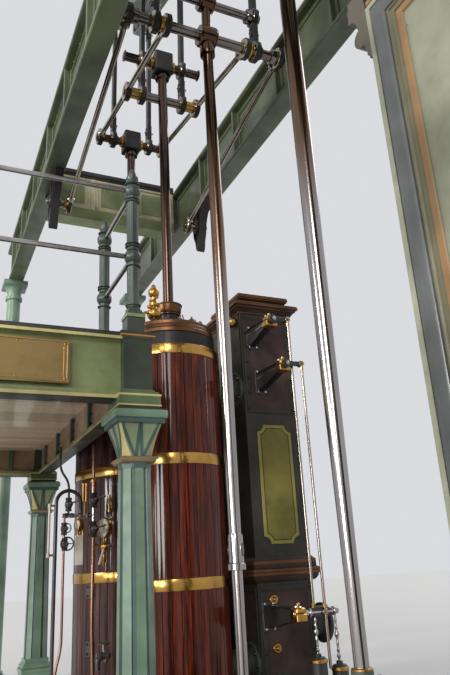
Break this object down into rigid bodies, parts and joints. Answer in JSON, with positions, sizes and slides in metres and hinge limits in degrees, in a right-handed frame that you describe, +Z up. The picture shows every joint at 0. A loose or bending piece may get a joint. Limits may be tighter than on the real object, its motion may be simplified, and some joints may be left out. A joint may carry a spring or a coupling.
{
  "type": "beam engine",
  "caption": "Waterworks beam engine with lagged steam cylinders, rocking beam, parallel motion, flywheel, pump rods, iron frame and a railed gallery on columns.",
  "frame": {"origin": "on the floor under the trunnion, in the plane of the beam", "axes": "+Y along the beam towards the cylinders, +X across the engine away from the gallery, +Z up"},
  "size_m": [5.2425, 18.2851, 9.7973],
  "materials": {
    "bed_iron": "oiled dark iron",
    "cylinder_iron": "black painted iron",
    "high_wood": "varnished dark reddish mahogany staves",
    "cover_iron": "black with a polished ring",
    "bright_steel": "bright polished steel",
    "low_wood": "varnished greyish brown staves",
    "band_brass": "polished brass",
    "chest_iron": "dark gloss paint",
    "cornice_paint": "brown gloss paint",
    "panel_paint": "olive yellow gloss paint",
    "pipe_iron": "dark gloss paint",
    "gear_brass": "dull brass and bright steel",
    "pipe_steel": "bright pipe",
    "column_paint": "sea green gloss paint",
    "beam_paint": "moss green gloss paint",
    "deck_iron": "cream painted under, worn iron on top",
    "plate_brass": "polished brass, blank",
    "post_paint": "dark green gloss paint",
    "pillar_paint": "pale grey green gloss paint",
    "frame_paint": "dark green gloss paint",
    "cream_paint": "cream and green gloss paint",
    "bracket_iron": "black painted iron",
    "great_beam_paint": "green gloss paint",
    "pump_iron": "dark green painted iron",
    "rod_paint": "green gloss paint",
    "shaft_steel": "bright steel",
    "wheel_paint": "green gloss paint, bright rim",
    "stand_paint": "dark green gloss paint"
  },
  "bodies": {
    "root": {"bedplate": "bed_iron", "high_cylinder": "cylinder_iron", "high_lagging": "high_wood", "high_cover": "cover_iron", "high_piston_rod": "bright_steel", "low_cylinder": "cylinder_iron", "low_lagging": "low_wood", "low_cover": "cover_iron", "low_piston_rod": "bright_steel", "cylinder_bands": "band_brass", "high_valve_chest": "chest_iron", "low_valve_chest": "chest_iron", "chest_cornice": "cornice_paint", "chest_panels": "panel_paint", "steam_pipes": "pipe_iron", "valve_gear": "gear_brass", "valve_rods": "bright_steel", "drain_pipes": "pipe_steel", "gallery_column_1": "column_paint", "gallery_column_2": "column_paint", "gallery_column_3": "column_paint", "gallery_column_4": "column_paint", "gallery_front_beam": "beam_paint", "gallery_back_beam": "beam_paint", "gallery_side_beams": "beam_paint", "gallery_deck": "deck_iron", "name_plate": "plate_brass", "gallery_posts": "post_paint", "gallery_rails": "bright_steel", "beam_pillar": "pillar_paint", "trunnion_girder": "frame_paint", "trunnion_stands": "frame_paint", "spring_beam_left": "frame_paint", "spring_beam_right": "frame_paint", "end_girder": "cream_paint", "girder_posts": "column_paint", "radius_brackets": "bracket_iron", "beam": "great_beam_paint", "beam_pins": "bright_steel", "main_links": "bright_steel", "back_links": "bright_steel", "parallel_bars": "bright_steel", "radius_rods": "bright_steel", "back_shaft": "bright_steel", "lift_pump_rod": "bright_steel", "lift_pump": "pump_iron", "force_pump_rod": "bright_steel", "force_pump": "pump_iron", "connecting_rod": "rod_paint", "crankshaft": "shaft_steel", "flywheel": "wheel_paint", "crankshaft_stands": "stand_paint"}
  },
  "joints": []
}
